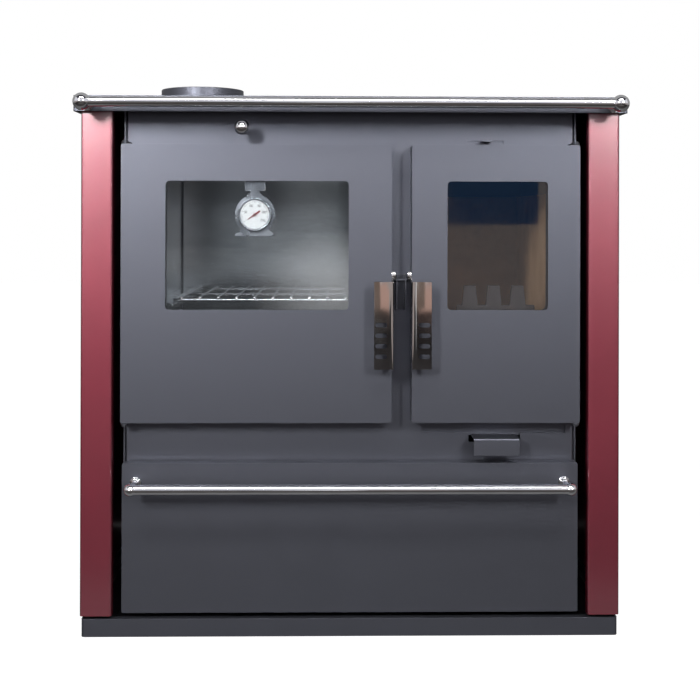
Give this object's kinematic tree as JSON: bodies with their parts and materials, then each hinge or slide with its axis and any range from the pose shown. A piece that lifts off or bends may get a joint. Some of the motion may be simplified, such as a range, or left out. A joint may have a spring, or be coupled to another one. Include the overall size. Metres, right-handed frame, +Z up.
{
  "type": "wood cookstove",
  "caption": "Free-standing wood-burning cookstove with an oven door, a firebox door, a storage drawer, a cooking plate and a rear flue collar.",
  "frame": {"origin": "centre of the plinth on the floor", "axes": "+X to the right seen from the front, +Y towards the back, +Z up"},
  "size_m": [0.87, 0.6505, 0.904],
  "materials": {
    "black_paint": "satin anthracite stove paint",
    "dark_steel": "matt dark steel",
    "red_paint": "satin wine red enamel",
    "chrome": "polished",
    "oven_steel": "brushed oven liner",
    "cast_iron": "blackened cast iron",
    "fireclay": "matt fireclay",
    "zinc_sheet": "galvanised sheet",
    "door_rope": "braided glass rope",
    "door_glass": "clear ceramic glass",
    "needle_red": "red enamel"
  },
  "bodies": {
    "root": {"base_plinth": "black_paint", "front_panel": "black_paint", "top_frame": "black_paint", "carcass_wall_left": "dark_steel", "carcass_wall_right": "dark_steel", "carcass_floor": "dark_steel", "mid_shelf": "dark_steel", "firebox_divider": "dark_steel", "back_panel": "dark_steel", "flue_collar": "dark_steel", "damper_guide": "dark_steel", "catch_bracket": "dark_steel", "ash_shelf": "dark_steel", "oven_door_hinge_top": "dark_steel", "oven_door_hinge_bottom": "dark_steel", "firebox_door_hinge_top": "dark_steel", "firebox_door_hinge_bottom": "dark_steel", "side_panel_left": "red_paint", "side_panel_right": "red_paint", "top_rail": "chrome", "top_rail_post_left": "chrome", "top_rail_post_right": "chrome", "oven_box": "oven_steel", "rack_runner_left": "oven_steel", "rack_runner_right": "oven_steel", "cooking_plate": "cast_iron", "firebox_floor": "cast_iron", "grate": "cast_iron", "log_guard": "cast_iron", "brick_left": "fireclay", "brick_right": "fireclay", "brick_back": "fireclay", "drawer_runner_left": "zinc_sheet", "drawer_runner_right": "zinc_sheet"},
    "oven_door": {"oven_door_skin": "black_paint", "oven_door_liner": "dark_steel", "oven_door_glass": "door_glass", "oven_door_gasket": "door_rope", "thermometer_holder": "chrome", "thermometer_case": "chrome"},
    "oven_handle": {"oven_door_handle": "chrome"},
    "needle": {"thermometer_needle": "needle_red"},
    "firebox_door": {"firebox_door_skin": "black_paint", "firebox_door_liner": "dark_steel", "firebox_door_glass": "door_glass", "firebox_door_gasket": "door_rope"},
    "firebox_handle": {"firebox_door_handle": "chrome"},
    "storage_drawer": {"drawer_front": "black_paint", "drawer_box": "zinc_sheet", "drawer_rail": "chrome", "drawer_rail_post_left": "chrome", "drawer_rail_post_right": "chrome"},
    "damper": {"damper_plate": "dark_steel", "damper_knob": "chrome"},
    "primary_air": {"primary_air_slide": "black_paint"},
    "secondary_air": {"secondary_air_slide": "black_paint"},
    "rack": {"oven_rack": "chrome"},
    "ash_drawer": {"ash_pan": "zinc_sheet"},
    "ring": {"hob_ring": "cast_iron"},
    "lid": {"hob_lid": "cast_iron"}
  },
  "joints": [
    {"name": "oven_door_hinge", "type": "hinge", "parent": "root", "child": "oven_door", "pos_m": [-0.356, -0.28, 0.5555], "axis": [0, 0, -1], "range_deg": [0, 115]},
    {"name": "firebox_door_hinge", "type": "hinge", "parent": "root", "child": "firebox_door", "pos_m": [0.356, -0.28, 0.5555], "axis": [0, 0, 1], "range_deg": [0, 115]},
    {"name": "oven_handle_lift", "type": "hinge", "parent": "oven_door", "child": "oven_handle", "pos_m": [0.0653, -0.273, 0.568], "axis": [-1, 0, 0], "range_deg": [0, 40]},
    {"name": "firebox_handle_lift", "type": "hinge", "parent": "firebox_door", "child": "firebox_handle", "pos_m": [0.0947, -0.273, 0.568], "axis": [-1, 0, 0], "range_deg": [0, 40]},
    {"name": "thermometer_needle_turn", "type": "hinge", "parent": "oven_door", "child": "needle", "pos_m": [-0.1525, -0.2767, 0.664], "axis": [0, 1, 0], "range_deg": [0, 250]},
    {"name": "drawer_pull", "type": "slide", "parent": "root", "child": "storage_drawer", "axis": [0, -1, 0], "range_m": [0, 0.4]},
    {"name": "damper_pull", "type": "slide", "parent": "root", "child": "damper", "axis": [0, -1, 0], "range_m": [0, 0.08]},
    {"name": "primary_air_push", "type": "slide", "parent": "root", "child": "primary_air", "axis": [0, 1, 0], "range_m": [0, 0.028]},
    {"name": "secondary_air_shift", "type": "slide", "parent": "root", "child": "secondary_air", "axis": [1, 0, 0], "range_m": [-0.018, 0.018]},
    {"name": "rack_slide", "type": "slide", "parent": "root", "child": "rack", "axis": [0, -1, 0], "range_m": [0, 0.221]},
    {"name": "ash_pan_slide", "type": "slide", "parent": "root", "child": "ash_drawer", "axis": [0, -1, 0], "range_m": [0, 0.121]},
    {"name": "hob_ring_lift", "type": "slide", "parent": "root", "child": "ring", "axis": [0, 0, 1], "range_m": [0, 0.12]},
    {"name": "hob_lid_lift", "type": "slide", "parent": "ring", "child": "lid", "axis": [0, 0, 1], "range_m": [0, 0.12]}
  ],
  "couplings": [
    {"joint": "rack_slide", "follows": "oven_door_hinge", "m_per_rad": 0.11},
    {"joint": "ash_pan_slide", "follows": "firebox_door_hinge", "m_per_rad": 0.06}
  ]
}
